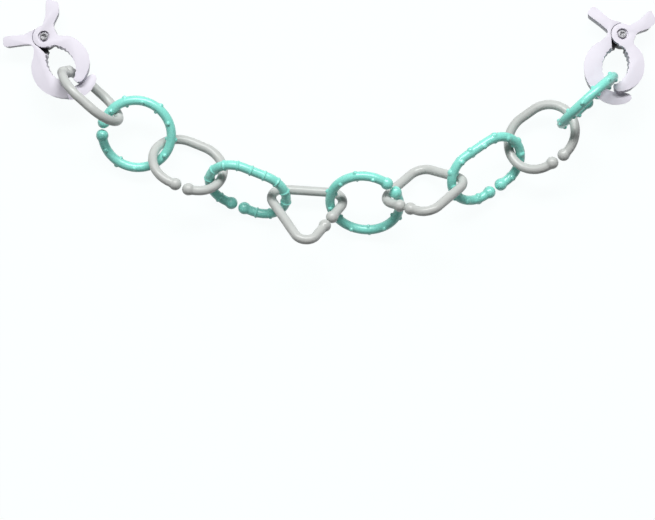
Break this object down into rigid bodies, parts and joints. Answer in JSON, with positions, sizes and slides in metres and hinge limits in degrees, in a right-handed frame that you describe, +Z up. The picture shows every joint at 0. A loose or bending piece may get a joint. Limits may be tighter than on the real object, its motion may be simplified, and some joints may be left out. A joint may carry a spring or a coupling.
{
  "type": "pram chain toy",
  "caption": "Chain of loose teal and grey plastic links hooked through each other, with a sprung plastic clamp at each end for clipping across a pram.",
  "frame": {"origin": "middle of the drawn-out chain's box, on the surface that it lies on", "axes": "+X along the chain towards the right clamp, +Y from the middle links towards the clamp handles, +Z up from the surface"},
  "size_m": [0.4568, 0.1718, 0.057],
  "materials": {
    "clamp_plastic": "satin",
    "grey_plastic": "satin",
    "teal_plastic": "satin",
    "spring_wire": "plain wire",
    "screw_steel": "zinc plated"
  },
  "bodies": {
    "left_clamp": {"left_clamp_back_jaw": "clamp_plastic", "left_clamp_spring": "spring_wire", "left_clamp_screw": "screw_steel", "left_clamp_nut": "screw_steel"},
    "left_jaw": {"left_clamp_front_jaw": "clamp_plastic"},
    "link_1": {"link_1_grey_oval": "grey_plastic"},
    "link_2": {"link_2_bumped_ring": "teal_plastic"},
    "link_3": {"link_3_grey_oval": "grey_plastic"},
    "link_4": {"link_4_ribbed_oval": "teal_plastic"},
    "link_5": {"link_5_grey_triangle": "grey_plastic"},
    "link_6": {"link_6_bumped_ring": "teal_plastic"},
    "link_7": {"link_7_grey_square": "grey_plastic"},
    "link_8": {"link_8_domed_oval": "teal_plastic"},
    "link_9": {"link_9_grey_oval": "grey_plastic"},
    "link_10": {"link_10_bumped_ring": "teal_plastic"},
    "right_clamp": {"right_clamp_back_jaw": "clamp_plastic", "right_clamp_spring": "spring_wire", "right_clamp_screw": "screw_steel", "right_clamp_nut": "screw_steel"},
    "right_jaw": {"right_clamp_front_jaw": "clamp_plastic"}
  },
  "joints": [
    {"name": "left_jaw_open", "type": "hinge", "parent": "left_clamp", "child": "left_jaw", "pos_m": [-0.19847, 0.05756, 0.00482], "axis": [-0.1192, 0.1908, 0.9744], "range_deg": [0, 28], "stiffness_Nm_per_rad": 0.03, "springref_deg": -17.19, "deforming": ["left_clamp_spring"]},
    {"name": "swing_1", "type": "hinge", "parent": "left_clamp", "child": "link_1", "pos_m": [-0.17715, 0.03039, 0.02267], "axis": [0, 0, 1], "range_deg": [-4, 8]},
    {"name": "swing_2", "type": "hinge", "parent": "link_1", "child": "link_2", "pos_m": [-0.15087, 0.00336, 0.01424], "axis": [0, 0, 1], "range_deg": [-9, 9]},
    {"name": "swing_3", "type": "hinge", "parent": "link_2", "child": "link_3", "pos_m": [-0.11754, -0.01999, 0.01634], "axis": [0, 0, 1], "range_deg": [-9, 9]},
    {"name": "swing_4", "type": "hinge", "parent": "link_3", "child": "link_4", "pos_m": [-0.07937, -0.03868, 0.01879], "axis": [0, 0, 1], "range_deg": [-9, 9]},
    {"name": "swing_5", "type": "hinge", "parent": "link_4", "child": "link_5", "pos_m": [-0.03545, -0.05412, 0.0216], "axis": [0, 0, 1], "range_deg": [-9, 8]},
    {"name": "swing_6", "type": "hinge", "parent": "link_5", "child": "link_6", "pos_m": [0.00478, -0.05629, 0.01983], "axis": [0, 0, 1], "range_deg": [-9, 9]},
    {"name": "swing_7", "type": "hinge", "parent": "link_6", "child": "link_7", "pos_m": [0.04419, -0.05488, 0.02625], "axis": [0, 0, 1], "range_deg": [-9, 9]},
    {"name": "swing_8", "type": "hinge", "parent": "link_7", "child": "link_8", "pos_m": [0.08931, -0.04424, 0.01738], "axis": [0, 0, 1], "range_deg": [-9, 9]},
    {"name": "swing_9", "type": "hinge", "parent": "link_8", "child": "link_9", "pos_m": [0.12989, -0.0209, 0.01699], "axis": [0, 0, 1], "range_deg": [-9, 7]},
    {"name": "swing_10", "type": "hinge", "parent": "link_9", "child": "link_10", "pos_m": [0.16456, 0.00172, 0.02872], "axis": [0, 0, 1], "range_deg": [-9, 9]},
    {"name": "swing_11", "type": "hinge", "parent": "link_10", "child": "right_clamp", "pos_m": [0.19397, 0.02497, 0.00626], "axis": [0, 0, 1], "range_deg": [-5, 5]},
    {"name": "right_jaw_open", "type": "hinge", "parent": "right_clamp", "child": "right_jaw", "pos_m": [0.20402, 0.05818, 0.00626], "axis": [0.0678, 0.2844, 0.9563], "range_deg": [0, 28], "stiffness_Nm_per_rad": 0.03, "springref_deg": -17.19, "deforming": ["right_clamp_spring"]}
  ]
}
